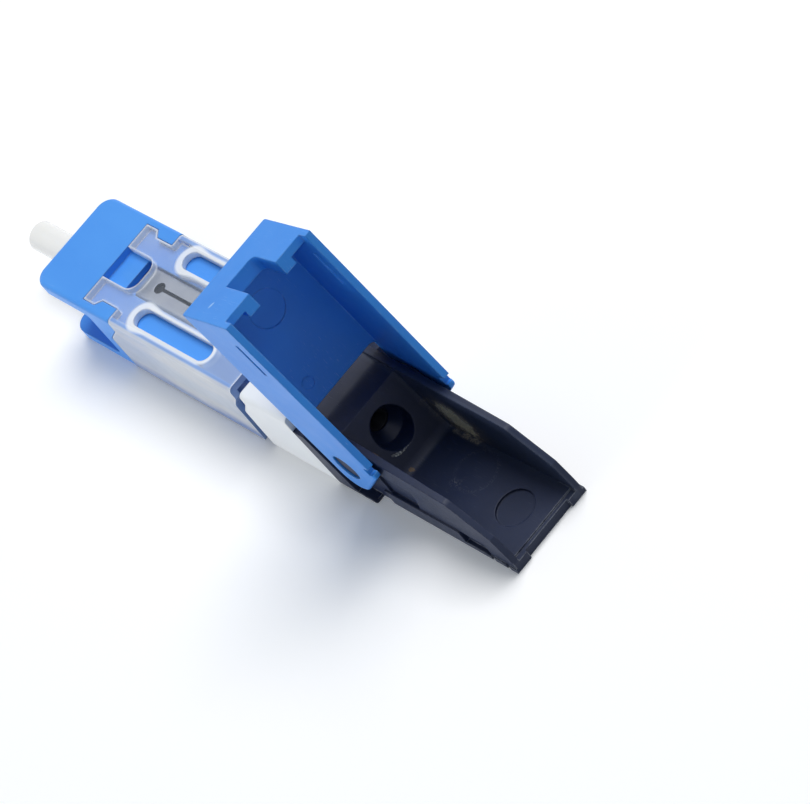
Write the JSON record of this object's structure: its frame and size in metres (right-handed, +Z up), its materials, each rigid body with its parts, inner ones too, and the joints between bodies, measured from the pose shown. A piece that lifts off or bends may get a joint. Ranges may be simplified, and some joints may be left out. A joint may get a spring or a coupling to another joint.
{
  "type": "fibre optic fast connector",
  "caption": "Field-fitted push-pull fibre connector: sprung ferrule in a sliding square plug, a mechanical splice inside, and a hinged lid that clamps the flat cable in a trough at the tail",
  "frame": {"origin": "on the ferrule's axis, in the plane of the plug's front face", "axes": "+X along the connector from the plug to the cable's tail, +Y across it to the far side of the picture, +Z up towards the lid's side"},
  "size_m": [0.0598, 0.009, 0.0216],
  "materials": {
    "blue_plastic": "glossy moulded blue",
    "lid_plastic": "glossy moulded blue with fine scuffs",
    "clear_plastic": "clear moulded plastic, slightly milky",
    "dark_plastic": "satin deep blue",
    "black_plastic": "satin navy black with light scuffs",
    "white_plastic": "satin white",
    "zirconia": "ground and polished",
    "flange_metal": "turned, bare",
    "spring_steel": "bright sheet and wire",
    "splice_plastic": "satin dark grey"
  },
  "bodies": {
    "body": {"main_body": "white_plastic", "plug_frame": "blue_plastic", "splice_body": "dark_plastic", "v_groove_base": "splice_plastic", "clamp_plate": "splice_plastic", "clamp_clip": "spring_steel", "fibre_guide": "splice_plastic", "cable_trough": "black_plastic", "ferrule_spring": "spring_steel"},
    "coupling": {"coupling_grip": "blue_plastic", "pull_sleeve": "clear_plastic"},
    "ferrule_set": {"ferrule": "zirconia", "ferrule_flange": "flange_metal"},
    "lid": {"clamp_lid": "lid_plastic"}
  },
  "joints": [
    {"name": "coupling_slide", "type": "slide", "parent": "body", "child": "coupling", "axis": [1, 0, 0], "range_m": [0, 0.001]},
    {"name": "ferrule_float", "type": "slide", "parent": "body", "child": "ferrule_set", "axis": [1, 0, 0], "range_m": [0, 0.0008], "stiffness_N_per_m": 800, "deforming": ["ferrule_spring"]},
    {"name": "lid_hinge", "type": "hinge", "parent": "body", "child": "lid", "pos_m": [0.0374, 0, 0.0011], "axis": [0, 1, 0], "range_deg": [0, 107.5]}
  ]
}
